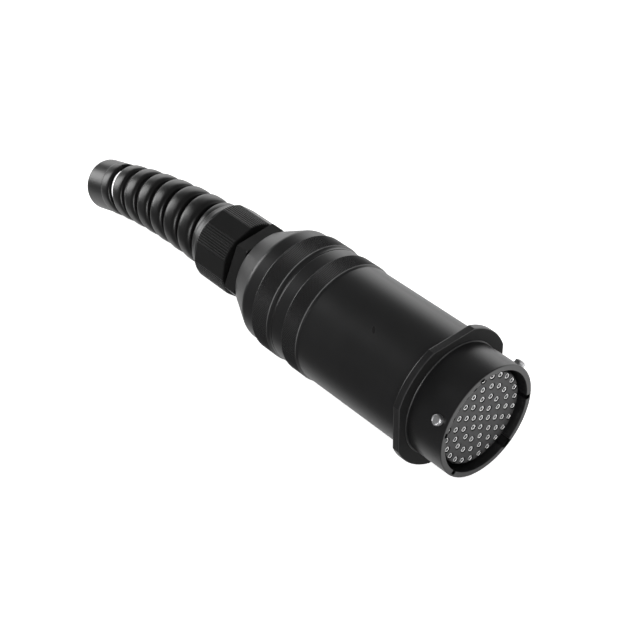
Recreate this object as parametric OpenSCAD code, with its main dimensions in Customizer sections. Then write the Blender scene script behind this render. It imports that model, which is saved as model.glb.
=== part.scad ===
// Circular cable connector with a bayonet-stud nose, an extension barrel,
// a knurled end bell and a cable gland with a spiral bend guard.
// Millimetres.  The axis lies along X with the mating face at +X, Z is up and
// the origin is the centre of the mating rim.  The part lies on the bottom
// flat of its flange.  A station is a distance behind the mating rim, and an
// angle is counted about the axis from +Y towards +Z.

/* [Nose] */
// Outside diameter of the mating nose
nose_d = 34.9; // [32:0.1:38]
// Length of the nose from the flange to the rim
nose_len = 13.2; // [12:0.1:16]
// Bevel at the outer edge of the rim
rim_bevel = 0.25; // [0.2:0.05:0.8]
// Thickness of the nose wall
nose_wall = 1.75; // [1.6:0.05:2.2]
// Depth of the ring-shaped space that takes the mating barrel
ring_space_depth = 10.4; // [6:0.1:11]

/* [Keyways] */
// Width of the master keyway
master_key_w = 3; // [1.6:0.1:3.4]
// Width of the four smaller keyways
minor_key_w = 1.5; // [0.8:0.1:2]
// Depth of a keyway into the nose wall
key_depth = 1.2; // [0.6:0.05:1.3]
// Angle of the master keyway
master_key_angle = -57; // [-180:1:180]

/* [Bayonet studs] */
// Number of studs round the nose
stud_count = 3; // [2:1:4]
// Diameter of a stud
stud_d = 3.1; // [2:0.1:3.6]
// Height of a stud above the nose
stud_h = 1.4; // [1:0.1:2.5]
// Station of the stud centres
stud_station = 3.2; // [2.6:0.1:6]
// Angle of the first stud
stud_angle = 152; // [0:1:180]

/* [Flange] */
// Diameter across the rounded corners of the flange
flange_d = 42.8; // [41:0.1:46]
// Distance across the flats of the flange
flange_flats = 40; // [39.5:0.1:41]
// Thickness of the flange
flange_t = 2.3; // [1.6:0.1:3.5]
// Height of the seal step round the foot of the nose
seal_step_h = 0.3; // [0.1:0.05:0.6]
// Width of the seal step round the foot of the nose
seal_step_w = 0.25; // [0.1:0.05:1]

/* [Insert and contacts] */
// Diameter of the contact insert
insert_d = 29; // [28.4:0.1:29.6]
// Depth of the insert face behind the rim
face_depth = 2; // [1:0.1:4]
// Thickness of the front half of the insert
front_insert_t = 10; // [8:0.1:12]
// Thickness of the rear half of the insert
rear_insert_t = 7; // [6:0.1:10]
// Thickness of the rubber wire grommet
grommet_t = 5; // [3:0.1:8]
// Distance between neighbouring contact circles
circle_pitch = 3.3; // [3:0.02:3.35]
// Outside diameter of a socket contact
contact_d = 1.6; // [1.3:0.05:1.7]
// Diameter of the bore that takes the mating pin
contact_bore_d = 1.02; // [0.8:0.01:1.1]
// Diameter of the hole round a contact at the face
face_hole_d = 2.1; // [1.9:0.05:2.3]
// Depth of a contact's lip below the insert face
contact_recess = 0.15; // [0:0.05:1]
// Diameter of the collar that locks a contact
contact_collar_d = 1.96; // [1.9:0.02:2.1]

/* [Barrel] */
// Outside diameter of the barrel
barrel_d = 37.5; // [36.8:0.1:38]
// Inside diameter of the barrel
barrel_bore_d = 33; // [32.6:0.1:33.8]
// Length of the barrel
barrel_len = 51.3; // [45:0.1:80]
// Length of the rear skirt of the front shell inside the barrel
skirt_len = 14; // [13.4:0.1:16]
// Narrow gap between the flange and the barrel
flange_gap = 0.4; // [0.2:0.05:1]
// Diameter over the knurled bands
knurl_d = 38.4; // [38.2:0.1:38.8]
// Depth of the knurl
knurl_depth = 0.2; // [0.1:0.02:0.3]
// Number of knurl teeth round a band
knurl_count = 240; // [90:10:240]
// Length of the knurled band on the barrel
barrel_knurl_len = 6.1; // [3:0.1:10]
// Length of the plain neck behind that band
neck_len = 4.8; // [2:0.1:8]

/* [End bell] */
// Length of the knurled band on the bell
bell_knurl_len = 6.6; // [3:0.1:10]
// Length of the plain cone in front of that band
bell_lip_len = 1.8; // [1:0.1:3]
// Diameter of the smooth shoulder behind that band
shoulder_d = 37; // [36:0.1:37.4]
// Length of the smooth shoulder
shoulder_len = 5.1; // [2:0.1:8]
// Radius of the round between shoulder and cone
shoulder_round = 3; // [1:0.1:4]
// Length of the cone
cone_len = 9.3; // [8:0.1:16]
// Diameter of the cone's small end
cone_end_d = 27.3; // [26.6:0.1:28]
// Thickness of the bell's wall
bell_wall = 2; // [1.6:0.1:2.6]
// Length of the spigot inside the barrel
spigot_len = 9; // [6:0.1:12]
// Radial clearance between the spigot and the barrel
spigot_play = 0.05; // [0.02:0.01:0.1]

/* [Gland] */
// Distance across the flats of the gland body
gland_af = 24; // [22:0.1:24.4]
// Thickness of the gland body's hexagon
gland_hex_t = 4.6; // [3:0.1:8]
// Diameter of the gland's connection thread
gland_thread_d = 20; // [18:0.5:20]
// Length of the gland's connection thread
gland_thread_len = 8; // [6:0.1:10]
// Angle of one corner of the gland body
gland_corner_angle = 125; // [0:1:180]
// Diameter of the thread that carries the nut
neck_thread_d = 19.4; // [18.6:0.1:19.8]
// Diameter of the bore through the gland body
gland_bore_d = 14.6; // [13:0.1:15]
// Diameter of the hole that the cable seal leaves open
cable_hole_d = 9; // [5:0.1:11]
// Gap between the gland body and the nut
nut_gap = 2.1; // [0.6:0.1:4]

/* [Nut and spiral guard] */
// Distance across the six flats of the nut
nut_af = 24.8; // [24:0.1:25.2]
// Diameter over the ribbed corners of the nut
nut_d = 25.7; // [25.3:0.1:26.4]
// Length of the nut's hexagon
nut_len = 13.9; // [12:0.1:18]
// Angle of the middle of one flat of the nut
nut_flat_angle = 107; // [0:1:180]
// Number of fine ribs on each corner of the nut
corner_ribs = 7; // [3:1:9]
// Radial clearance between the nut and the gland's neck
nut_play = 0.08; // [0.03:0.01:0.1]
// Length of the round collar behind the nut
collar_len = 3.4; // [3:0.1:6]
// Pitch of the spiral
spiral_pitch = 7.6; // [6.5:0.05:9]
// Turns of the spiral
spiral_turns = 7.5; // [5:0.1:8]
// Width of the spiral's strip
strip_w = 4.6; // [3.5:0.1:5.6]
// Outside diameter of the spiral at the nut
spiral_d = 22; // [21:0.1:23]
// Outside diameter of the tail sleeve
tail_d = 17; // [16:0.1:19]
// Thickness of the strip at the nut
strip_t = 3.2; // [2:0.1:3.6]
// Wall of the sleeve at the tail
tail_wall = 1.9; // [1.4:0.1:2.4]
// Length of the tail sleeve
tail_len = 11.6; // [6:0.1:15]
// Radius of the bend that the spiral has taken
bend_r = 185; // [150:1:400]
// Angle of the middle of the spiral's moulding facet
facet_angle = 107; // [0:1:180]

/* [Hidden] */
$fn = 96;

// Clearance between pieces that are screwed or slipped together for good
fit_gap = 0.05;

// Stations along the axis
flange_front = nose_len;
flange_rear = flange_front + flange_t;
barrel_front = flange_rear + flange_gap;
barrel_rear = barrel_front + barrel_len;
skirt_rear = flange_rear + skirt_len;
front_insert_rear = face_depth + front_insert_t;
rear_insert_rear = front_insert_rear + rear_insert_t;
grommet_rear = rear_insert_rear + fit_gap + grommet_t;
bell_front = barrel_rear + fit_gap;
bell_knurl_front = bell_front + bell_lip_len;
bell_knurl_rear = bell_knurl_front + bell_knurl_len;
shoulder_rear = bell_knurl_rear + shoulder_len;
bell_rear = shoulder_rear + cone_len;
washer_t = 0.6;
hex_front = bell_rear + washer_t;
hex_rear = hex_front + gland_hex_t;
nut_front = hex_rear + nut_gap;
nut_rear = nut_front + nut_len;
collar_rear = nut_rear + collar_len;
strip_start = 0.65;
sleeve_overlap = 0.6;
spiral_start = nut_rear + strip_start;
spiral_end = spiral_start + spiral_pitch * spiral_turns;
sleeve_front = spiral_end - strip_w / 2 - sleeve_overlap;
tail_end = sleeve_front + tail_len;

// Radii that several pieces share
nose_bore_r = nose_d / 2 - nose_wall;
insert_r = insert_d / 2;
skirt_r = barrel_bore_d / 2 - fit_gap;
skirt_bore_r = insert_r + fit_gap;
thread_r = gland_thread_d / 2;
neck_r = neck_thread_d / 2;
gland_bore_r = gland_bore_d / 2;
nut_bore_r = neck_r + nut_play;
bell_bore_r = thread_r + fit_gap;

// Rubber seal rings and the grooves that hold them
seal_cord = 1.2;
seal_groove_depth = seal_cord + fit_gap;
seal_groove_half = 0.8;

// Turns a shape built along +Z so that its height becomes a station
module on_axis() {
    rotate([0, -90, 0]) children();
}

// Turns a shape built along the local X so that it points at an angle
module at_angle(a) {
    rotate([0, 0, 90 - a]) children();
}

// A ring-shaped piece from a list of [radius, station] points
module turned(profile) {
    on_axis() rotate_extrude() polygon(profile);
}

// A plain ring between two stations
module ring(r_out, r_in, from, to) {
    turned([[r_in, from], [r_out, from], [r_out, to], [r_in, to]]);
}

// A straight hole or rod on the axis between two stations
module rod(r, from, to) {
    on_axis() translate([0, 0, from]) cylinder(r = r, h = to - from);
}

// Places of the contacts as [radius, angle]: one in the middle and four circles
contact_sites = [[0, 0], for (c = [1:4], i = [0:6 * c - 1]) [circle_pitch * c, (i + 0.5 * (c % 2)) * 60 / c]];

// Repeats a shape built along +Z at every contact
module at_contacts() {
    on_axis() for (site = contact_sites) at_angle(site[1]) translate([site[0], 0, 0]) children();
}

// A rubber seal ring that lies on the floor of a groove
module seal_ring(groove_r, station) {
    mid_r = groove_r + seal_cord / 2 + fit_gap / 2;
    on_axis() translate([0, 0, station]) rotate_extrude() translate([mid_r, 0]) circle(d = seal_cord, $fn = 32);
}

// Height of the knurl's roots above the round under it
knurl_base = 0.06;
// Radius of the round under a knurled band, and of the smooth cone in front of it
band_r = knurl_d / 2 - knurl_depth - knurl_base;
knurl_lip_r = knurl_d / 2 - knurl_depth / 2;

// A band with fine straight teeth
module knurled_band(from, to) {
    tip_r = knurl_d / 2;
    root_r = tip_r - knurl_depth;
    teeth = [for (i = [0:knurl_count - 1], half = [0, 1])
        let(a = (i + half / 2) * 360 / knurl_count, r = half == 0 ? tip_r : root_r)
        [r * cos(a), r * sin(a)]];
    on_axis() translate([0, 0, from]) linear_extrude(to - from) polygon(teeth);
}

/* ---- Front shell ---- */

minor_key_angles = [-3, -138, 100, 163];
key_reach_r = nose_bore_r + key_depth;
seal_step_r = nose_d / 2 + seal_step_w;
skirt_groove_r = skirt_r - seal_groove_depth;
shell_seal_station = flange_rear + 4;
relief_depth = 0.6;
ring_groove_r = skirt_bore_r + 0.9;
ring_groove_w = 1.3;
insert_ring_front = grommet_rear;

module keyway(width, angle) {
    on_axis() at_angle(angle) translate([nose_bore_r - 1, -width / 2, -1])
        cube([key_reach_r - nose_bore_r + 1, width, ring_space_depth + 1]);
}

module front_shell() {
    edge = 0.5;
    relief_len = 1;
    color("dimgray") difference() {
        union() {
            turned([[nose_bore_r, 0], [nose_d / 2 - rim_bevel, 0], [nose_d / 2, rim_bevel],
                    [nose_d / 2, flange_front - seal_step_h], [seal_step_r, flange_front - seal_step_h],
                    [seal_step_r, flange_rear - 0.5], [skirt_r - relief_depth, flange_rear - 0.5],
                    [skirt_r - relief_depth, flange_rear + relief_len],
                    [skirt_r, flange_rear + relief_len + relief_depth],
                    [skirt_r, shell_seal_station - seal_groove_half],
                    [skirt_groove_r, shell_seal_station - seal_groove_half],
                    [skirt_groove_r, shell_seal_station + seal_groove_half],
                    [skirt_r, shell_seal_station + seal_groove_half],
                    [skirt_r, skirt_rear - edge], [skirt_r - edge, skirt_rear],
                    [skirt_bore_r, skirt_rear], [skirt_bore_r, insert_ring_front + ring_groove_w],
                    [ring_groove_r, insert_ring_front + ring_groove_w], [ring_groove_r, insert_ring_front],
                    [skirt_bore_r, insert_ring_front], [skirt_bore_r, ring_space_depth],
                    [nose_bore_r, ring_space_depth]]);
            intersection() {
                ring(flange_d / 2, skirt_bore_r + 1, flange_front, flange_rear);
                translate([-flange_rear - 1, -flange_flats / 2, -flange_flats / 2])
                    cube([flange_t + 2, flange_flats, flange_flats]);
            }
        }
        keyway(master_key_w, master_key_angle);
        for (a = minor_key_angles) keyway(minor_key_w, a);
        for (i = [0:stud_count - 1]) stud_hole(stud_angle + i * 360 / stud_count);
    }
}

/* ---- Bayonet studs ---- */

stud_root_r = nose_bore_r + 0.35;

module stud_hole(angle) {
    on_axis() at_angle(angle) translate([stud_root_r, 0, stud_station]) rotate([0, 90, 0])
        cylinder(d = stud_d, h = nose_wall + 2, $fn = 48);
}

module bayonet_studs() {
    stud_len = nose_d / 2 + stud_h - stud_root_r;
    edge = 0.3;
    dish = 0.15;
    color("silver") for (i = [0:stud_count - 1])
        on_axis() at_angle(stud_angle + i * 360 / stud_count)
            translate([stud_root_r, 0, stud_station]) rotate([0, 90, 0])
                rotate_extrude($fn = 48) polygon([[0, 0], [stud_d / 2, 0],
                    [stud_d / 2, stud_len - edge], [stud_d / 2 - edge, stud_len],
                    [stud_d / 2 - 2 * edge, stud_len - dish], [0, stud_len - dish]]);
}

/* ---- Mating seal ---- */

seal_t = 1.2;

// Flat rubber ring on the floor of the ring-shaped space
module mating_seal() {
    color("black") ring(nose_bore_r - fit_gap, skirt_bore_r, ring_space_depth - seal_t, ring_space_depth - fit_gap);
}

/* ---- Insert, contacts and grommet ---- */

collar_front = front_insert_rear - 1.5;
contact_lip = face_depth + contact_recess;
contact_tail = rear_insert_rear + 2;
contact_hole_r = contact_d / 2 + fit_gap;
collar_hole_r = contact_collar_d / 2 + fit_gap;
clip_front = front_insert_rear + 0.5;
clip_rear = clip_front + 2.6;
socket_depth = 6;
grommet_r = insert_r - 0.1;

module front_insert() {
    lead_in = 0.4;
    color("gray") difference() {
        turned([[0, face_depth], [insert_r - lead_in, face_depth], [insert_r, face_depth + lead_in],
                [insert_r, front_insert_rear], [0, front_insert_rear]]);
        at_contacts() {
            translate([0, 0, face_depth - 1]) cylinder(d = face_hole_d, h = 4, $fn = 24);
            translate([0, 0, face_depth]) cylinder(r = contact_hole_r, h = front_insert_t + 1, $fn = 24);
            translate([0, 0, collar_front]) cylinder(r = collar_hole_r, h = 4, $fn = 24);
        }
    }
}

module rear_insert() {
    color("dimgray") difference() {
        ring(insert_r, 0, front_insert_rear + fit_gap, rear_insert_rear);
        at_contacts() {
            translate([0, 0, front_insert_rear - 1]) cylinder(r = contact_hole_r, h = rear_insert_t + 2, $fn = 24);
            translate([0, 0, front_insert_rear - 1])
                cylinder(r = collar_hole_r, h = clip_rear - front_insert_rear + 1.2, $fn = 24);
        }
    }
}

module socket_contacts() {
    r = contact_d / 2;
    bore_r = contact_bore_d / 2;
    cup_depth = 3.5;
    collar_room = 0.1;
    half_wall = (r - bore_r) / 2;
    round_lip = [for (i = [0:4])
        [bore_r + half_wall * (1 - cos(45 * i)), contact_lip + half_wall * (1 - sin(45 * i))]];
    color("silver") at_contacts() rotate_extrude($fn = 24) polygon(concat(round_lip, [
        [r, collar_front + collar_room], [contact_collar_d / 2, collar_front + collar_room],
        [contact_collar_d / 2, clip_front - collar_room], [r, clip_front - collar_room],
        [r, contact_tail], [bore_r, contact_tail], [bore_r, contact_tail - cup_depth],
        [0, contact_tail - cup_depth], [0, contact_lip + socket_depth],
        [bore_r, contact_lip + socket_depth]]));
}

module retention_clips() {
    slip = 0.02;
    color("gold") at_contacts() rotate_extrude($fn = 24) translate([contact_hole_r - slip, clip_front])
        square([collar_hole_r - contact_hole_r, clip_rear - clip_front]);
}

module wire_grommet() {
    color("dimgray") difference() {
        ring(grommet_r, 0, rear_insert_rear + fit_gap, grommet_rear);
        at_contacts() translate([0, 0, rear_insert_rear - 1]) cylinder(r = contact_hole_r, h = grommet_t + 3, $fn = 24);
    }
}

module insert_ring() {
    slot_w = 4;
    width = 1.3;
    color("silver") difference() {
        ring(ring_groove_r - fit_gap, ring_groove_r - fit_gap - width, insert_ring_front + fit_gap,
             insert_ring_front + ring_groove_w - fit_gap);
        translate([-insert_ring_front - 2 * ring_groove_w, -slot_w / 2, 0])
            cube([3 * ring_groove_w, slot_w, insert_d]);
    }
}

module shell_seal() {
    color("black") seal_ring(skirt_groove_r, shell_seal_station);
}

/* ---- Barrel ---- */

band_rear = barrel_rear - neck_len;
band_front = band_rear - barrel_knurl_len;

module barrel() {
    bore_r = barrel_bore_d / 2;
    r = barrel_d / 2;
    edge = 0.4;
    band_edge = 0.7;
    color("dimgray") difference() {
        union() {
            turned([[0, barrel_front], [r - edge, barrel_front], [r, barrel_front + edge],
                    [r, band_front - band_edge], [knurl_lip_r, band_front], [band_r, band_front],
                    [band_r, band_rear],
                    [r, band_rear + band_edge / 2], [r, barrel_rear - edge], [r - edge, barrel_rear],
                    [0, barrel_rear]]);
            knurled_band(band_front, band_rear);
        }
        rod(bore_r, barrel_front - 1, barrel_rear + 1);
    }
}

/* ---- End bell ---- */

spigot_r = barrel_bore_d / 2 - spigot_play;
spigot_front = bell_front - spigot_len;
bell_seal_station = bell_front - 2;
spigot_groove_r = spigot_r - seal_groove_depth;
spigot_bore_r = spigot_r - bell_wall;

// Outer line of the cone and its rounded shoulder, from the shoulder to the small end
cone_slope = atan((shoulder_d / 2 - cone_end_d / 2) / cone_len);
shoulder_arc = [for (i = [0:6]) let(a = i * cone_slope / 6)
    [shoulder_d / 2 - shoulder_round * (1 - cos(a)), shoulder_rear - shoulder_round * tan(cone_slope / 2)
     + shoulder_round * sin(a)]];

module end_bell() {
    edge = 0.4;
    lip_r = barrel_d / 2;
    lip_edge = 0.2;
    thread_front = bell_rear - gland_thread_len;
    color("dimgray") difference() {
        union() {
            turned(concat([[0, spigot_front], [spigot_r - edge, spigot_front], [spigot_r, spigot_front + edge],
                    [spigot_r, bell_seal_station - seal_groove_half],
                    [spigot_groove_r, bell_seal_station - seal_groove_half],
                    [spigot_groove_r, bell_seal_station + seal_groove_half],
                    [spigot_r, bell_seal_station + seal_groove_half],
                    [spigot_r, bell_front], [lip_r - lip_edge, bell_front], [lip_r, bell_front + lip_edge],
                    [knurl_lip_r, bell_knurl_front], [band_r, bell_knurl_front],
                    [band_r, bell_knurl_rear], [shoulder_d / 2, bell_knurl_rear + edge]],
                shoulder_arc, [[cone_end_d / 2, bell_rear], [0, bell_rear]]));
            knurled_band(bell_knurl_front, bell_knurl_rear);
        }
        turned([[0, spigot_front - 1], [spigot_bore_r, spigot_front - 1], [spigot_bore_r, bell_knurl_rear],
                [bell_bore_r, thread_front], [bell_bore_r, bell_rear + 1], [0, bell_rear + 1]]);
    }
}

module bell_seal() {
    color("black") seal_ring(spigot_groove_r, bell_seal_station);
}

/* ---- Gland ---- */

neck_setback = 7;
neck_rear = nut_rear - neck_setback;
cage_seat_depth = 5;
cage_seat = hex_rear + cage_seat_depth;
cage_front = cage_seat + fit_gap;
cage_out = 3.6;
cage_rear = neck_rear + cage_out;
slit_setback = 3;
cage_tip_len = 1.6;
cage_tip_bevel = 1;
cage_wall = 1.3;
cage_fingers = 8;
cage_r = gland_bore_r - fit_gap;
seal_r = cage_r - cage_wall;
cable_r = cable_hole_d / 2;
washer_w = 2.1;

module gland_washer() {
    color("black") ring(bell_bore_r + washer_w, bell_bore_r, bell_rear + fit_gap / 2, hex_front - fit_gap / 2);
}

module gland_body() {
    corner_r = gland_af / 2 / cos(30);
    corner_cut = 0.25;
    seat_step = 1.5;
    color("darkslategray") difference() {
        union() {
            rod(thread_r, bell_rear - gland_thread_len + fit_gap, hex_front + 1);
            intersection() {
                on_axis() at_angle(gland_corner_angle) translate([0, 0, hex_front])
                    cylinder(r = corner_r, h = gland_hex_t, $fn = 6);
                turned([[0, hex_front], [corner_r - corner_cut, hex_front], [corner_r, hex_front + corner_cut],
                        [corner_r, hex_rear - corner_cut], [corner_r - corner_cut, hex_rear], [0, hex_rear]]);
            }
            rod(neck_r, hex_rear - 1, neck_rear);
        }
        rod(gland_bore_r, cage_seat, neck_rear + 1);
        rod(gland_bore_r - seat_step, bell_rear - gland_thread_len, cage_seat + 1);
    }
}

module clamp_cage() {
    slit_w = 0.8;
    slit_front = cage_front + slit_setback;
    color("dimgray") difference() {
        turned([[seal_r + fit_gap, cage_front], [cage_r, cage_front], [cage_r, cage_rear - cage_tip_len],
                [cage_r - cage_tip_bevel, cage_rear], [seal_r + fit_gap, cage_rear]]);
        on_axis() for (i = [0:cage_fingers - 1]) at_angle(i * 360 / cage_fingers)
            translate([0, -slit_w / 2, slit_front]) cube([cage_r + 1, slit_w, cage_rear - slit_front + 1]);
    }
}

module cable_seal() {
    color("black") ring(seal_r, cable_r, cage_front, cage_rear - fit_gap);
}

/* ---- Nut with its spiral guard ---- */

facet_half = 15;
tail_bore_r = tail_d / 2 - tail_wall;
guard_bore_r = spiral_d / 2 - strip_t;
strip_lift = 0.15;
// Inner form of the nut: room behind the gland's neck, gap to the cage, and throat
neck_room = 0.6;
press_gap = 0.35;
throat_r = cage_r - cage_wall / 2;
throat_len = 1;

// Angle that the bent centre line has turned through at a station
function bend_at(s) = max(0, s - collar_rear) / bend_r * 180 / PI;

// Point at a radius and angle round the bent centre line
function guard_point(s, r, a) = let(b = bend_at(s), straight = min(s, collar_rear))
    [-straight - bend_r * sin(b) - r * sin(a) * sin(b),
     r * cos(a),
     -bend_r * (1 - cos(b)) + r * sin(a) * cos(b)];

// Share of the way from the nut to the tail
function along(s) = max(0, min(1, (s - collar_rear) / (sleeve_front - collar_rear)));

// Outer radius of the strip, cut flat at the two moulding facets
function facet_turn(a) = let(t = (a - facet_angle) % 180) t > 90 ? t - 180 : (t < -90 ? t + 180 : t);
function strip_r(s, a) = let(t = abs(facet_turn(a)),
    r = spiral_d / 2 + (tail_d / 2 + strip_lift - spiral_d / 2) * along(s))
    t < facet_half ? r * cos(facet_half) / cos(t) : r;
function strip_in(s) = strip_lift + guard_bore_r + (tail_bore_r - guard_bore_r) * along(s);

strip_angle = 206;
strip_front = nut_rear + strip_start / 2;
strip_edge = 0.5;
steps_per_turn = 36;
module spiral_strip() {
    n = floor(spiral_turns * steps_per_turn);
    rings = [for (i = [0:n])
        let(turn = i / steps_per_turn, a = strip_angle - 360 * turn, s = spiral_start + spiral_pitch * turn,
            front = max(strip_front, s - strip_w / 2), rear = s + strip_w / 2, r = strip_r(s, a), low = strip_in(s))
        [guard_point(front, low, a), guard_point(rear, low, a), guard_point(rear, r - strip_edge, a),
         guard_point(rear - strip_edge, r, a), guard_point(front + strip_edge, r, a),
         guard_point(front, r - strip_edge, a)]];
    points = [for (ring = rings, p = ring) p];
    m = len(rings[0]);
    sides = [for (i = [0:n - 1], j = [0:m - 1]) let(k = (j + 1) % m)
        [i * m + j, (i + 1) * m + j, (i + 1) * m + k, i * m + k]];
    side_triangles = [for (q = sides, t = [[q[0], q[1], q[2]], [q[0], q[2], q[3]]]) t];
    end_triangles = [for (j = [1:m - 2], t = [[0, j, j + 1], [n * m, n * m + j + 1, n * m + j]]) t];
    polyhedron(points, concat(side_triangles, end_triangles));
}

// Moves a shape built along +Z from its own foot to a station on the bent line
module on_bend(s) {
    b = bend_at(s);
    translate(guard_point(s, 0, 0)) rotate([0, -90 - b, 0]) children();
}

module tail_sleeve() {
    edge = 0.3;
    on_bend(sleeve_front) rotate_extrude() polygon([
        [tail_bore_r, 0], [tail_d / 2, 0], [tail_d / 2, tail_len - edge],
        [tail_d / 2 - edge, tail_len], [tail_bore_r, tail_len]]);
}

// Six-flatted body whose corners carry fine ribs
module nut_hexagon() {
    r = nut_d / 2;
    half_flat = acos(nut_af / nut_d);
    rib_h = 0.25;
    rib_step = (60 - 2 * half_flat) / (2 * corner_ribs + 1);
    outline = [for (c = [0:5]) each concat(
        [[r - rib_h, c * 60 + half_flat]],
        [for (i = [0:2 * corner_ribs])
            [i % 2 == 0 ? r - rib_h : r, c * 60 + half_flat + (i + 0.5) * rib_step]],
        [[r - rib_h, (c + 1) * 60 - half_flat]])];
    on_axis() at_angle(nut_flat_angle) translate([0, 0, nut_front]) linear_extrude(nut_len)
        polygon([for (p = outline) [p[0] * cos(p[1]), p[0] * sin(p[1])]]);
}

module gland_nut() {
    collar_r = nut_af / 2 - 0.3;
    collar_round = 0.5;
    cone_front = nut_rear + 4 * collar_round;
    throat_front = cage_rear + press_gap;
    color("darkslategray") {
        difference() {
            union() {
                nut_hexagon();
                turned([[0, nut_rear - 1], [collar_r, nut_rear - 1], [collar_r, nut_rear + collar_round],
                        [collar_r - collar_round, cone_front],
                        [spiral_d / 2 + strip_lift, collar_rear], [0, collar_rear]]);
            }
            turned([[0, nut_front - 1], [nut_bore_r, nut_front - 1], [nut_bore_r, neck_rear + neck_room],
                    [cage_r + press_gap, cage_rear - cage_tip_len], [throat_r, throat_front],
                    [throat_r, throat_front + throat_len], [guard_bore_r, nut_rear], [guard_bore_r, collar_rear + 1],
                    [0, collar_rear + 1]]);
        }
        spiral_strip();
        tail_sleeve();
    }
}

front_shell();
bayonet_studs();
mating_seal();
front_insert();
rear_insert();
socket_contacts();
retention_clips();
wire_grommet();
insert_ring();
shell_seal();
barrel();
bell_seal();
end_bell();
gland_washer();
gland_body();
clamp_cage();
cable_seal();
gland_nut();
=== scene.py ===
import math
import bpy
from mathutils import Matrix, Vector


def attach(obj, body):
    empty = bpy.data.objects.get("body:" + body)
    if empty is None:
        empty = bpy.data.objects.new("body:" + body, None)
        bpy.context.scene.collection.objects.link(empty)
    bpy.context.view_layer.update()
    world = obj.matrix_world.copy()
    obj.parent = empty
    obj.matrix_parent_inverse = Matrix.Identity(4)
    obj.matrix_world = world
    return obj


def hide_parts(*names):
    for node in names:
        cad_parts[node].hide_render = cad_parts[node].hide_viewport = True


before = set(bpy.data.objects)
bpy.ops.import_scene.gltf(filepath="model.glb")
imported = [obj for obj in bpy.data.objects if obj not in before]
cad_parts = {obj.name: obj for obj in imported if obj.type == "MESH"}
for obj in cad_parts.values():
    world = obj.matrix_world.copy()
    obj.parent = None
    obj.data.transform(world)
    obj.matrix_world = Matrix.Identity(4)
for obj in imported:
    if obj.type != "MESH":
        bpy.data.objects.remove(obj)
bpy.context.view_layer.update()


# ---- The front shell: nose and flange ----
# Turned and milled aluminium with a black anodised skin, made in one piece.
# The skin is satin and shows faint turning rings; its sharp edges carry a painted
# highlight on the upper side, the front face of the rim is painted lighter where
# light falls on it, and the front face of the flange is darker and rougher.

class Wire:
    """A socket of a node tree that can be used in plain arithmetic."""

    def __init__(self, tree, socket):
        self.tree = tree
        self.socket = socket

    def node(self, kind, settings=None, inputs=None, output=0):
        """A new node, with its settings made first and its inputs set or linked."""
        made = self.tree.nodes.new(kind)
        for name, value in (settings or {}).items():
            if name == "stops":
                ramp = made.color_ramp
                while len(ramp.elements) < len(value):
                    ramp.elements.new(0.5)
                for element, (place, level) in zip(ramp.elements, value):
                    element.position = place
                    element.color = (level, level, level, 1)
            else:
                setattr(made, name, value)
        for key, value in (inputs or {}).items():
            if isinstance(value, Wire):
                self.tree.links.new(value.socket, made.inputs[key])
            else:
                made.inputs[key].default_value = value
        return Wire(self.tree, made.outputs[output])

    def math(self, operation, *values):
        return self.node("ShaderNodeMath", {"operation": operation}, dict(enumerate(values)))

    def __add__(self, other):
        return self.math("ADD", self, other)

    __radd__ = __add__

    def __sub__(self, other):
        return self.math("SUBTRACT", self, other)

    def __rsub__(self, other):
        return self.math("SUBTRACT", other, self)

    def __mul__(self, other):
        return self.math("MULTIPLY", self, other)

    __rmul__ = __mul__

    def __truediv__(self, other):
        return self.math("DIVIDE", self, other)

    def __rtruediv__(self, other):
        return self.math("DIVIDE", other, self)

    def __pow__(self, other):
        return self.math("POWER", self, other)

    def __abs__(self):
        return self.math("ABSOLUTE", self)

    def __lt__(self, other):
        return self.math("LESS_THAN", self, other)

    def __gt__(self, other):
        return self.math("GREATER_THAN", self, other)

    def least(self, other):
        return self.math("MINIMUM", self, other)

    def most(self, other):
        return self.math("MAXIMUM", self, other)

    def sine(self):
        return self.math("SINE", self)

    def cosine(self):
        return self.math("COSINE", self)

    def vector(self, operation, other, output=0):
        return self.node("ShaderNodeVectorMath", {"operation": operation}, {0: self, 1: other}, output)

    def axis(self, letter):
        return self.node("ShaderNodeSeparateXYZ", {}, {0: self}, letter)

    def off_axis(self):
        """The distance from the connector's own axis, which is X."""
        return (self.axis("Y") * self.axis("Y") + self.axis("Z") * self.axis("Z")) ** 0.5

    def bearing(self):
        """The angle round the connector's axis, from +Y towards +Z."""
        return self.math("ARCTAN2", self.axis("Z"), self.axis("Y"))

    def point(self, x, y, z):
        return self.node("ShaderNodeCombineXYZ", {}, {"X": x, "Y": y, "Z": z})

    def spread(self, ratio):
        """The same place with its distance from the axis times a ratio."""
        return self.point(self.axis("X"), self.axis("Y") * ratio, self.axis("Z") * ratio)

    def moved(self, place):
        return self.node("GeometryNodeSetPosition", {}, {"Geometry": self, "Position": place})

    def noise(self, scale, detail=2.0):
        return self.node("ShaderNodeTexNoise", {}, {"Vector": self, "Scale": scale, "Detail": detail})

    def stretched(self, scale):
        return self.node("ShaderNodeMapping", {}, {"Vector": self, "Scale": scale})

    def ramp(self, *stops):
        return self.node("ShaderNodeValToRGB", {"stops": stops}, {0: self})

    def mix(self, low, high):
        return self.node("ShaderNodeMix", {"data_type": "RGBA"}, {0: self, "A": low, "B": high}, 2)

    def bump(self, distance, strength):
        return self.node("ShaderNodeBump", {}, {"Height": self, "Distance": distance, "Strength": strength})


def start_finish(name):
    """A new material, its shader, and its object coordinates as a wire."""
    finish = bpy.data.materials.new(name)
    finish.use_nodes = True
    tree = finish.node_tree
    place = tree.nodes.new("ShaderNodeTexCoord")
    return finish, tree.nodes["Principled BSDF"], Wire(tree, place.outputs["Object"])


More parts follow.
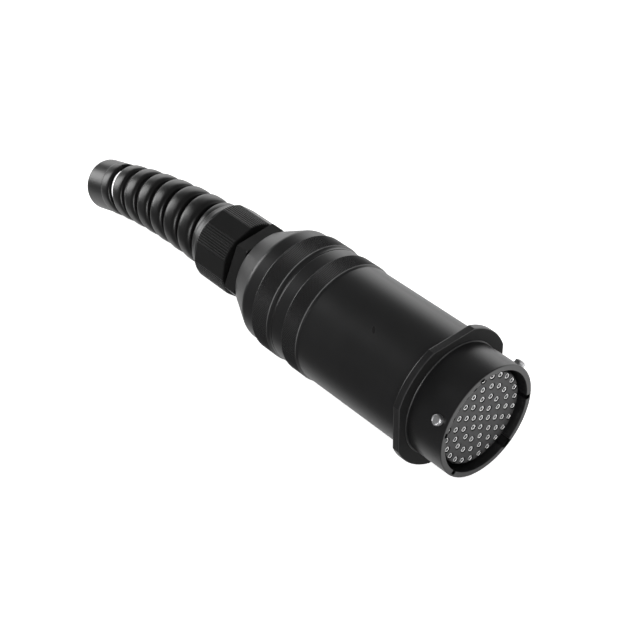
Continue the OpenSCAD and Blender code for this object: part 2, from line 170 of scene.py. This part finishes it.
def feed(shader, **values):
    """Sets sockets of a shader, by names with _ for a space, to values or wires."""
    for name, value in values.items():
        socket = shader.inputs[name.replace("_", " ")]
        if isinstance(value, Wire):
            value.tree.links.new(value.socket, socket)
        else:
            socket.default_value = value


def start_form(name, sizes):
    """A new geometry tree with named sizes; returns it, its geometry input and its sizes as wires."""
    tree = bpy.data.node_groups.new(name, "GeometryNodeTree")
    tree.interface.new_socket("Form", in_out="INPUT", socket_type="NodeSocketGeometry")
    for size in sizes:
        tree.interface.new_socket(size, in_out="INPUT", socket_type="NodeSocketFloat")
    tree.interface.new_socket("Form", in_out="OUTPUT", socket_type="NodeSocketGeometry")
    entry = tree.nodes.new("NodeGroupInput")
    wires = {size: Wire(tree, entry.outputs[size]) for size in sizes}
    return tree, Wire(tree, entry.outputs["Form"]), wires


def finish_form(tree, form, finish):
    """Ends a geometry tree: smooth faces, real geometry and the finish."""
    smooth = form.node("GeometryNodeSetShadeSmooth", {}, {"Geometry": form})
    real = form.node("GeometryNodeRealizeInstances", {}, {"Geometry": smooth})
    dressed = form.node("GeometryNodeSetMaterial", {}, {"Geometry": real, "Material": finish})
    leave = tree.nodes.new("NodeGroupOutput")
    tree.links.new(dressed.socket, leave.inputs["Form"])


def grow(name, base, tree, sizes):
    """The plain mesh that a geometry tree makes from a base mesh with these sizes."""
    seed = bpy.data.objects.new(name + "_seed", base)
    bpy.context.scene.collection.objects.link(seed)
    modifier = seed.modifiers.new("form", "NODES")
    modifier.node_group = tree
    for item in tree.interface.items_tree:
        if item.in_out == "INPUT" and item.name in sizes:
            modifier[item.identifier] = float(sizes[item.name])
    bpy.context.view_layer.update()
    mesh = bpy.data.meshes.new_from_object(seed.evaluated_get(bpy.context.evaluated_depsgraph_get()))
    seed.modifiers.clear()
    bpy.data.objects.remove(seed)
    mesh.name = name
    return mesh


def add_piece(mesh, sharp_above, body):
    """A piece of its own from a mesh, with edges sharp above an angle, that rides on a body."""
    mesh.set_sharp_from_angle(angle=math.radians(sharp_above))
    piece = bpy.data.objects.new(mesh.name, mesh)
    bpy.context.scene.collection.objects.link(piece)
    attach(piece, body)
    return piece


def turned_mesh(name, profile, columns, frame_at=None):
    """A closed ring-shaped mesh about -X from (station, radius) points, from the inner front edge outwards.

    A long side gets a guard row near each end, so that its shading stays straight.
    """
    long_side, guard = 1, 0.12
    rows = []
    for number, corner in enumerate(profile):
        here = Vector(corner)
        before = Vector(profile[number - 1]) - here
        after = Vector(profile[(number + 1) % len(profile)]) - here
        if before.length > long_side:
            rows.append(here + guard * before.normalized())
        rows.append(here)
        if after.length > long_side:
            rows.append(here + guard * after.normalized())
    points = []
    for station, radius in rows:
        for column in range(columns):
            angle = 2 * math.pi * column / columns
            point = Vector((-station, radius * math.cos(angle), radius * math.sin(angle))) * mm
            points.append(frame_at @ point if frame_at else point)
    faces = []
    for row in range(len(rows)):
        for column in range(columns):
            after, beside = (row + 1) % len(rows), (column + 1) % columns
            faces.append((row * columns + column, row * columns + beside,
                          after * columns + beside, after * columns + column))
    mesh = bpy.data.meshes.new(name)
    mesh.from_pydata([tuple(point) for point in points], [], faces)
    mesh.validate()
    mesh.polygons.foreach_set("use_smooth", [True] * len(mesh.polygons))
    return mesh


def outer_edge(station, radius, broken, way):
    """Three points of a broken outer edge, on a front face (way 1) or on a rear face (way -1)."""
    size, middle = broken
    points = [(station, radius - size), (station + way * middle, radius - middle),
              (station + way * size, radius)]
    return points[::way]


mm = 0.001
nose_radius, nose_bore, insert_bore, skirt_radius, skirt_rear = 17.45, 15.7, 14.55, 16.45, 29.5
ring_depth, step_front, step_radius = 10.4, 12.9, 17.7
flange_front, flange_rear, flange_radius, flange_half = 13.2, 15.5, 21.4, 20.0
fine_edge, flange_edge, skin_depth = (0.25, 0.07), (0.3, 0.08), 0.02
knurl_fronts = (56.3, 69.05)

anodised, shader, place = start_finish("black_anodised")
cloud = place.noise(90, 4)
grain = place.noise(5200, 2)
rings = place.stretched((1, 0.02, 0.02)).noise(2600, 3)

# Each edge with a painted highlight: its station, half its width, the least radius that it reaches, and how
# bright it is.
highlit_edges = [(step_front + 0.06, 0.12, step_radius - 0.3, 0.5),
                (flange_front + 0.16, 0.14, flange_half - 0.1, 0.2)]
highlit_edges += [(knurl_front - 0.03, 0.14, 18.9, 1.3) for knurl_front in knurl_fronts]
radius = place.off_axis()
# The painted highlight is strongest on the upper side towards -Y, where the light falls, and is broken up by
# noise.
lit_upper_side = (0.45 - 32 * place.axis("Y")) * (0.15 + 60 * place.axis("Z"))
highlight_strength = 0.1 + lit_upper_side * cloud.ramp((0.3, 0.3), (0.6, 1.0))
painted_highlight = 0.0
for station, half_width, least_radius, brightness in highlit_edges:
    near_edge = abs(place.axis("X") + station * mm) < half_width * mm
    painted_highlight = painted_highlight + near_edge * (radius > least_radius * mm) * highlight_strength * brightness

# A short nick in the skin, on the barrel.
nick_place, nick_direction = (-34.4 * mm, -9.4 * mm, 16.22 * mm), (0.707, -0.612, -0.354)
nick_width, nick_raggedness, nick_slimness = 0.4 * mm, 0.2 * mm, 0.88
from_nick = place.vector("SUBTRACT", nick_place)
away = from_nick.vector("LENGTH", (0, 0, 0), "Value")
along = from_nick.vector("DOT_PRODUCT", nick_direction, "Value")
across = (away * away - nick_slimness * along * along) ** 0.5
nick = across + nick_raggedness * (grain - 0.5) < nick_width

# The front face of the flange is made darker and rougher.
on_flange_face = abs(place.axis("X") + flange_front * mm) < skin_depth * mm
dark_rough_face = on_flange_face * (radius > (step_radius + skin_depth) * mm)
# The front face of the rim is painted lighter: painted light, as where the front lamp falls on it.
painted_light_rim = place.axis("X") > -skin_depth * mm
skin = cloud.mix((0.007, 0.007, 0.0073, 1), (0.010, 0.010, 0.0104, 1))
skin = painted_light_rim.mix(skin, (0.015, 0.015, 0.015, 1))
# Painted highlight on the sharp edges.
skin = painted_highlight.mix(skin, (0.15, 0.15, 0.15, 1))
skin = dark_rough_face.most(nick).mix(skin, (0.001, 0.001, 0.001, 1))
feed(shader, Base_Color=skin, Roughness=0.28 + 0.06 * cloud + 0.05 * grain + 0.5 * dark_rough_face + 0.5 * nick,
     Normal=(0.6 * rings + 0.4 * grain).bump(0.00001, 0.3))

shell_profile = ([(ring_depth, insert_bore), (ring_depth, nose_bore), (0.2, nose_bore),
                  (0.06, nose_bore + 0.06), (0, nose_bore + 0.2)]
                 + outer_edge(0, nose_radius, fine_edge, 1)
                 + [(step_front - 0.12, nose_radius), (step_front, nose_radius + 0.05),
                    (step_front + 0.02, step_radius - 0.08), (step_front + 0.1, step_radius),
                    (flange_front, step_radius)]
                 + outer_edge(flange_front, flange_radius, flange_edge, 1)
                 + outer_edge(flange_rear, flange_radius, flange_edge, -1)
                 + [(flange_rear, skirt_radius), (skirt_rear, skirt_radius), (skirt_rear, insert_bore)])

# The flange has four flats.  Each keyway in the bore: its middle in degrees, and its width.
keyways, keyway_middle = ((-57, 3.0), (-3, 1.5), (-138, 1.5), (100, 1.5), (163, 1.5)), 16.3
shell_sizes = {"Flat inset": (flange_radius - flange_half) * mm, "Key reach": (nose_bore + 1.2) * mm,
               "Nose bore": (nose_bore + 0.25) * mm, "Insert bore": (insert_bore + 0.2) * mm,
               "Step": (step_radius + 0.3) * mm, "Ring depth": (ring_depth + 0.05) * mm}
tree, form, size = start_form("milled_shell", shell_sizes)
place = form.node("GeometryNodeInputPosition")
angle, radius = place.bearing(), place.off_axis()
squarest = abs(angle.cosine()).most(abs(angle.sine()))
flattened = radius.least((radius - size["Flat inset"]) / squarest)
in_key = 0.0
for middle, width in keyways:
    beside = abs(place.math("WRAP", angle - math.radians(middle), math.pi, -math.pi))
    in_key = in_key + (beside < width / 2 / keyway_middle)
near_bore = (radius < size["Nose bore"]) * (radius > size["Insert bore"])
in_keyway = in_key * near_bore * (place.axis("X") > 0 - size["Ring depth"])
milled = (radius + (radius > size["Step"]) * (flattened - radius)
          + in_keyway * (size["Key reach"] - radius))
finish_form(tree, form.moved(place.spread(milled / radius)), anodised)
shell_mesh = grow("nose_and_flange", turned_mesh("shell_base", shell_profile, 1440), tree, shell_sizes)
shell = add_piece(shell_mesh, 35, "connector_body")
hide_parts("front_shell")

# ---- Bayonet studs ----
# Three short round pins of stainless steel, turned with a shallow dish in the
# end and pressed into the nose.

def dress(name, finish):
    """Gives a node of the frame its finish."""
    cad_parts[name].data.materials.clear()
    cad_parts[name].data.materials.append(finish)


steel, shader, place = start_finish("stud_steel")
brushing = place.noise(3000, 3)
feed(shader, Base_Color=brushing.mix((0.48, 0.48, 0.49, 1), (0.66, 0.66, 0.67, 1)), Metallic=1.0,
     Roughness=0.42 + 0.14 * brushing)
dress("bayonet_studs", steel)

# ---- Mating seal ----
# A flat ring of black silicone rubber that lies on the floor of the
# ring-shaped space, where the mating half presses on it.
rubber, shader, place = start_finish("rubber_black")
cloud = place.noise(500, 3)
feed(shader, Base_Color=cloud.mix((0.012, 0.012, 0.012, 1), (0.02, 0.02, 0.02, 1)),
     Roughness=0.6 + 0.15 * cloud)
dress("mating_seal", rubber)

# ---- Insert ----
# Two halves of a grey moulded insulator with a hole for each contact, bonded
# together in the front shell.
insulator, shader, place = start_finish("insert_grey")
cloud = place.noise(400, 3)
feed(shader, Base_Color=cloud.mix((0.009, 0.009, 0.0095, 1), (0.015, 0.015, 0.0157, 1)),
     Roughness=0.42 + 0.1 * cloud)
for name in ("front_insert", "rear_insert"):
    dress(name, insulator)

# ---- Contacts and their clips ----
# Turned copper alloy sockets with a bright silver plating, pushed in from the
# rear until a clip of spring bronze snaps in behind each one's collar.
plating, shader, place = start_finish("contact_silver")
cloud = place.noise(900, 2)
feed(shader, Base_Color=cloud.mix((0.75, 0.75, 0.75, 1), (0.92, 0.92, 0.92, 1)), Metallic=1.0,
     Roughness=0.16 + 0.12 * cloud)
dress("socket_contacts", plating)

bronze, shader, place = start_finish("clip_bronze")
cloud = place.noise(900, 2)
feed(shader, Base_Color=cloud.mix((0.45, 0.33, 0.18, 1), (0.55, 0.42, 0.25, 1)), Metallic=1.0,
     Roughness=0.3 + 0.12 * cloud)
dress("retention_clips", bronze)

# ---- Grommet and retaining ring ----
# A rubber grommet that closes the insert round the wires, and the snap ring
# of spring steel that holds the whole stack in the shell.
dress("wire_grommet", rubber)
dress("insert_ring", steel)

# ---- Barrel and its seal ----
# A tube of black anodised aluminium with a knurled band for the grip, screwed
# onto the front shell over a rubber ring.
dress("shell_seal", rubber)
barrel_front, barrel_rear, barrel_radius, barrel_bore = 15.9, 67.2, 18.75, 16.5
band_front, band_rear, tip_radius = knurl_fronts[0], 62.4, 19.2
bore_bevel, tooth_count, tooth_depth = 0.3, 252, 0.12


def band_profile(front, rear):
    """Points along a knurled band, from the foot of the cone in front of it."""
    return [(front - 0.75, barrel_radius), (front - 0.7, barrel_radius + 0.02),
            (front - 0.05, tip_radius - 0.07), (front, tip_radius - 0.05), (front + 0.06, tip_radius - 0.03),
            (front + 0.14, tip_radius), (rear - 0.1, tip_radius), (rear, tip_radius - 0.08)]


barrel_profile = ([(barrel_front, barrel_bore + bore_bevel)]
                  + outer_edge(barrel_front, barrel_radius, (0.3, 0.1), 1)
                  + band_profile(band_front, band_rear)
                  + [(band_rear + 0.3, barrel_radius + 0.03), (band_rear + 0.35, barrel_radius)]
                  + outer_edge(barrel_rear, barrel_radius, fine_edge, -1)
                  + [(barrel_rear, barrel_bore + bore_bevel), (barrel_rear - bore_bevel, barrel_bore),
                     (barrel_front + bore_bevel, barrel_bore)])
knurl_sizes = ("Teeth", "Depth", "Band front", "Band rear", "Inside")
knurled_round, form, size = start_form("knurled_round", knurl_sizes)
place = form.node("GeometryNodeInputPosition")
radius = place.off_axis()
dip = size["Depth"] * (0.5 - 0.5 * (place.bearing() * size["Teeth"]).cosine())
in_band = (place.axis("X") < 0 - size["Band front"]) * (place.axis("X") > 0 - size["Band rear"])
toothed = place.spread(1 - in_band * (radius > size["Inside"]) * dip / radius)
finish_form(knurled_round, form.moved(toothed), anodised)


def knurled_piece(name, profile, front, rear, body):
    """A turned piece of anodised aluminium with its band knurled."""
    sizes = {"Teeth": tooth_count, "Depth": tooth_depth * mm, "Inside": (barrel_radius - 0.05) * mm,
             "Band front": (front + 0.1) * mm, "Band rear": (rear - 0.05) * mm}
    base = turned_mesh(name + "_base", profile, 4 * tooth_count)
    return add_piece(grow(name, base, knurled_round, sizes), 35, body)


barrel = knurled_piece("barrel_tube", barrel_profile, band_front, band_rear, "connector_body")
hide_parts("barrel")

# ---- End bell and its seal ----
# A turned bell of the same aluminium: a knurled band, a rounded shoulder and
# a cone.  It screws into the barrel over a rubber ring.
dress("bell_seal", rubber)
bell_front, bell_band_front, bell_band_rear = 67.25, knurl_fronts[1], 75.65
shoulder_rear, bell_rear = 80.75, 90.05
shoulder_radius, cone_end_radius, spigot_radius, bell_bore, spigot_front = 18.5, 13.65, 16.45, 14.45, 58.25
thread_bore, thread_front, shoulder_round, shoulder_steps = 10.05, 82.05, 3, 8
cone_angle = math.atan((shoulder_radius - cone_end_radius) / (bell_rear - shoulder_rear))
shoulder = []
for step in range(shoulder_steps + 1):
    lean = cone_angle * step / shoulder_steps
    shoulder.append((shoulder_rear + shoulder_round * (math.sin(lean) - math.tan(cone_angle / 2)),
                     shoulder_radius - shoulder_round * (1 - math.cos(lean))))
bell_profile = ([(spigot_front, spigot_radius), (bell_front, spigot_radius),
                 (bell_front, barrel_radius - 0.12), (bell_front + 0.12, barrel_radius)]
                + band_profile(bell_band_front, bell_band_rear)
                + [(bell_band_rear + 0.45, shoulder_radius + 0.05), (bell_band_rear + 0.6, shoulder_radius)]
                + shoulder
                + [(bell_rear - 0.25, cone_end_radius + 0.12), (bell_rear, cone_end_radius - 0.15),
                   (bell_rear, thread_bore), (thread_front, thread_bore), (bell_band_rear, bell_bore),
                   (spigot_front, bell_bore)])
bell = knurled_piece("end_bell_shell", bell_profile, bell_band_front, bell_band_rear, "rear_end")
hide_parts("end_bell")

# ---- Gland body, washer, cage and seal ----
# A hexagon of black polyamide, moulded with a thread at each end and screwed
# into the end bell over a rubber washer.  The fingers of its cage press the
# rubber seal onto the cable.
polyamide, shader, place = start_finish("gland_black")
cloud = place.noise(120, 4)
grain = place.noise(4200, 2)
feed(shader, Base_Color=cloud.mix((0.004, 0.004, 0.004, 1), (0.007, 0.007, 0.007, 1)),
     Roughness=0.26 + 0.14 * cloud, Normal=grain.bump(0.000008, 0.3))
dress("gland_washer", rubber)
dress("gland_body", polyamide)
dress("clamp_cage", polyamide)
dress("cable_seal", rubber)

# ---- Gland nut ----
# The front of a one-piece polyamide moulding: a hexagon whose corners carry
# fine ribs, and a round collar where the bend guard starts.
nut_front, nut_rear, collar_rear, nut_step = 97.35, 111.25, 114.65, 108.6
nut_radius, nut_flats, nut_bore, guard_bore, collar_radius = 12.85, 24.8, 9.78, 7.8, 12.1
nut_profile = ([(nut_front, nut_bore + 0.3)]
               + outer_edge(nut_front, nut_radius, (0.35, 0.1), 1)
               + [(nut_rear - 0.35, nut_radius), (nut_rear - 0.1, nut_radius - 0.1),
                  (nut_rear, nut_radius - 0.4), (nut_rear, collar_radius), (nut_rear + 0.4, collar_radius),
                  (nut_rear + 0.9, collar_radius - 0.15), (nut_rear + 1.8, collar_radius - 0.55),
                  (collar_rear - 0.4, collar_radius - 0.9), (collar_rear, collar_radius - 1.2),
                  (collar_rear, guard_bore), (nut_step, guard_bore), (nut_step, nut_bore),
                  (nut_front + 0.3, nut_bore)])
nut_sizes = {"Flats": nut_flats * mm, "Radius": nut_radius * mm, "Flat angle": math.radians(107),
             "Rib pitch": math.radians(3.6), "Rib depth": 0.24 * mm, "Rib width": 0.7,
             "Hexagon end": (nut_rear + 0.01) * mm, "Hexagon inside": (collar_radius + 0.05) * mm}
tree, form, size = start_form("ribbed_hexagon", nut_sizes)
place = form.node("GeometryNodeInputPosition")
radius = place.off_axis()
sixth = math.radians(60)
around = place.math("FLOORED_MODULO", place.bearing() - size["Flat angle"] + sixth / 2, sixth) - sixth / 2
from_corner = sixth / 2 - abs(around)
groove = 1 - abs((from_corner * math.pi / size["Rib pitch"]).cosine()) ** size["Rib width"]
shaped = (size["Flats"] / 2 / around.cosine()).least(size["Radius"] - size["Rib depth"] * groove)
on_hexagon = (place.axis("X") > 0 - size["Hexagon end"]) * (radius > size["Hexagon inside"])
hexagonal = place.spread((radius + on_hexagon * (shaped - size["Radius"])) / radius)
finish_form(tree, form.moved(hexagonal), polyamide)
nut_mesh = grow("gland_nut_hexagon", turned_mesh("nut_base", nut_profile, 1008), tree, nut_sizes)
nut = add_piece(nut_mesh, 40, "nut")

# ---- Spiral bend guard ----
# The middle of the same moulding: one crowned strip wound round a bent centre
# line, getting slimmer and thinner towards the tail.
bend_radius = 185
spiral_sizes = {"Turns": 7.35, "Start angle": math.radians(206), "Start station": 111.8 * mm,
                "Pitch": 7.66 * mm, "Front width": 6.5 * mm, "Tail width": 5.0 * mm,
                "Front radius": 11.0 * mm, "Tail radius": 8.72 * mm, "Front thickness": 4.5 * mm,
                "Tail thickness": 2.0 * mm, "Roundness": 0.62, "End sharpness": 60,
                "Bend start": collar_rear * mm, "Bend radius": bend_radius * mm, "Taper length": 51.4 * mm}
tree, form, size = start_form("spiral_strip", spiral_sizes)
strip = form.node("GeometryNodeMeshGrid", {},
                  {"Size X": 1.0, "Size Y": 1.0, "Vertices X": 841, "Vertices Y": 33}, "Mesh")
place = form.node("GeometryNodeInputPosition")
turn = (place.axis("X") + 0.5) * size["Turns"]
section = (place.axis("Y") + 0.5) * (2 * math.pi)
middle = size["Start station"] + size["Pitch"] * turn
taper = ((middle - size["Bend start"]) / size["Taper length"]).most(0.0).least(1.0)
outer = size["Front radius"] + (size["Tail radius"] - size["Front radius"]) * taper
thick = size["Front thickness"] + (size["Tail thickness"] - size["Front thickness"]) * taper
wide = size["Front width"] + (size["Tail width"] - size["Front width"]) * taper
pinch = (turn.least(size["Turns"] - turn) * size["End sharpness"]).least(1.0)
side, rise = section.cosine(), section.sine()
side_reach = place.math("SIGN", side) * abs(side) ** size["Roundness"]
rise_reach = place.math("SIGN", rise) * abs(rise) ** size["Roundness"]
station = middle + pinch * side_reach * wide / 2
radius = outer - thick / 2 + pinch * rise_reach * thick / 2
angle = size["Start angle"] - turn * (2 * math.pi)
bend = (station - size["Bend start"]).most(0.0) / size["Bend radius"]
height = radius * angle.sine()
wound = place.point(0 - station.least(size["Bend start"]) - (size["Bend radius"] + height) * bend.sine(),
                    radius * angle.cosine(),
                    height * bend.cosine() - size["Bend radius"] * (1 - bend.cosine()))
closed = form.node("GeometryNodeMergeByDistance", {},
                   {"Geometry": strip.moved(wound), "Distance": 0.000001})
finish_form(tree, closed, polyamide)
spiral_mesh = grow("gland_nut_spiral", bpy.data.meshes.new("spiral_base"), tree, spiral_sizes)
spiral = add_piece(spiral_mesh, 50, "nut")

# ---- Tail sleeve ----
# The plain end of the same moulding, a short straight tube that guides the
# cable.  No cable lies in it.
sleeve_front, sleeve_length, sleeve_radius, sleeve_bore = 166.6, 11.0, 8.5, 6.6
turned_through = (sleeve_front - collar_rear) / bend_radius
sleeve_place = Vector((-collar_rear - bend_radius * math.sin(turned_through), 0,
                       -bend_radius * (1 - math.cos(turned_through)))) * mm
sleeve_frame = Matrix.Translation(sleeve_place) @ Matrix.Rotation(-turned_through, 4, "Y")
sleeve_profile = ([(0, sleeve_bore)] + outer_edge(0, sleeve_radius, fine_edge, 1)
                  + [(sleeve_length - 0.5, sleeve_radius), (sleeve_length - 0.2, sleeve_radius - 0.1),
                     (sleeve_length, sleeve_radius - 0.45), (sleeve_length, sleeve_bore + 0.3),
                     (sleeve_length - 0.3, sleeve_bore)])
sleeve_mesh = turned_mesh("gland_nut_sleeve", sleeve_profile, 144, sleeve_frame)
sleeve_mesh.materials.append(polyamide)
sleeve = add_piece(sleeve_mesh, 50, "nut")
for piece in (nut, spiral, sleeve):
    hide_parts("gland_nut")

# ---- Floor ----
# White paper under the connector.  It looks white to the camera and keeps the
# connector's shadow.  In reflections it carries a painted shadow beside the
# connector and a painted glow in front of it.
floor_z, floor_reach = -0.02, 3.0
corners = [(x * floor_reach, y * floor_reach, floor_z) for x, y in ((-1, -1), (1, -1), (1, 1), (-1, 1))]
floor_mesh = bpy.data.meshes.new("floor")
floor_mesh.from_pydata(corners, [], [(0, 1, 2, 3)])
floor = bpy.data.objects.new("floor", floor_mesh)
bpy.context.scene.collection.objects.link(floor)
black, white = (0, 0, 0, 1), (1, 1, 1, 1)
paper, shader, place = start_finish("paper")
rays = paper.node_tree.nodes.new("ShaderNodeLightPath")
seen = Wire(paper.node_tree, rays.outputs["Is Camera Ray"])
mirrored = Wire(paper.node_tree, rays.outputs["Is Glossy Ray"])
# Painted shadow: in reflections the floor on the -Y side is dark and its colour darker.
painted_shadow_in_reflection = mirrored * (place.axis("Y") * 5 + 0.5).ramp((0.34, 1.0), (0.42, 0.0))
# Painted light: in reflections the floor just in front of the nose glows brighter.
painted_glow_ahead = (place.axis("X") * 5 + 0.5).ramp((0.52, 0.0), (0.62, 1.0)) * (place.axis("Y") > -0.01)
glow = 0.85 * seen + 0.3 * (mirrored - painted_shadow_in_reflection) + 0.6 * mirrored * painted_glow_ahead
feed(shader, Base_Color=painted_shadow_in_reflection.mix((0.8, 0.8, 0.8, 1), (0.2, 0.2, 0.2, 1)), Roughness=0.9,
     Specular_IOR_Level=0.0, Emission_Color=glow.mix(black, white), Emission_Strength=1.0)
floor_mesh.materials.append(paper)

# ---- Light ----
# A white surround that is bright near the floor and darker overhead and
# towards -Y.  One broad lamp above gives the shadow, and three soft boxes are
# mirrored along the barrel, the nose and the tail.
world = bpy.data.worlds.new("studio")
world.use_nodes = True
bpy.context.scene.world = world
tree = world.node_tree
seen = Wire(tree, tree.nodes.new("ShaderNodeLightPath").outputs["Is Camera Ray"])
direction = Wire(tree, tree.nodes.new("ShaderNodeTexCoord").outputs["Generated"])
level = direction.axis("Z").ramp((0.0, 0.9), (0.15, 0.7), (0.4, 0.26), (0.6, 0.16), (1.0, 0.15))
level = level * (0.6 + 0.4 * direction.axis("Y"))
feed(tree.nodes["Background"], Color=level.most(seen).mix(black, white), Strength=1.0)


def soft_box(name, place, aim, size, power, mirrored=True):
    """A broad rectangular lamp at a place, turned to its aim."""
    light = bpy.data.lights.new(name, "AREA")
    light.shape = "RECTANGLE"
    light.size, light.size_y = size
    light.energy = power
    box = bpy.data.objects.new(name, light)
    box.visible_glossy = mirrored
    back = (Vector(place) - Vector(aim)).normalized()
    box.matrix_world = Matrix.Translation(place) @ back.to_track_quat("Z", "Y").to_matrix().to_4x4()
    bpy.context.scene.collection.objects.link(box)


soft_box("box_overhead", (-0.08, 0, 1.2), (-0.08, 0, 0), (1.6, 1.6), 9, False)
soft_box("box_front", (0.85, -0.80, 0.45), (-0.06, 0, 0), (0.9, 0.6), 10)
soft_box("box_tail", (-1.15, -0.33, 0.33), (-0.1, 0, 0), (0.45, 0.8), 6)
soft_box("box_far", (-0.9, 0.95, 0.30), (-0.1, 0, 0), (1.6, 0.7), 4)

# ---- The camera ----
# It looks down on the nose from the right of the connector, a little under
# half a metre away, with a long lens.
camera_place = Vector((0.19118, -0.22310, 0.27114))
camera_azimuth = math.radians(49.216)
camera_elevation = math.radians(38.970)
camera_roll = math.radians(-1.151)
toward_camera = Vector((math.sin(camera_azimuth) * math.cos(camera_elevation),
                        -math.cos(camera_azimuth) * math.cos(camera_elevation),
                        math.sin(camera_elevation)))
level_right = Vector((math.cos(camera_azimuth), math.sin(camera_azimuth), 0))
level_up = toward_camera.cross(level_right)
right = math.cos(camera_roll) * level_right + math.sin(camera_roll) * level_up
up = toward_camera.cross(right)
camera = bpy.data.objects.new("camera", bpy.data.cameras.new("camera"))
camera.data.sensor_width = 36
camera.data.lens = 83.47
camera.data.clip_start = 0.01
camera_turn = Matrix((right, up, toward_camera)).transposed().to_4x4()
camera.matrix_world = Matrix.Translation(camera_place) @ camera_turn
bpy.context.scene.collection.objects.link(camera)
bpy.context.scene.camera = camera
bpy.context.scene.view_settings.view_transform = "Standard"
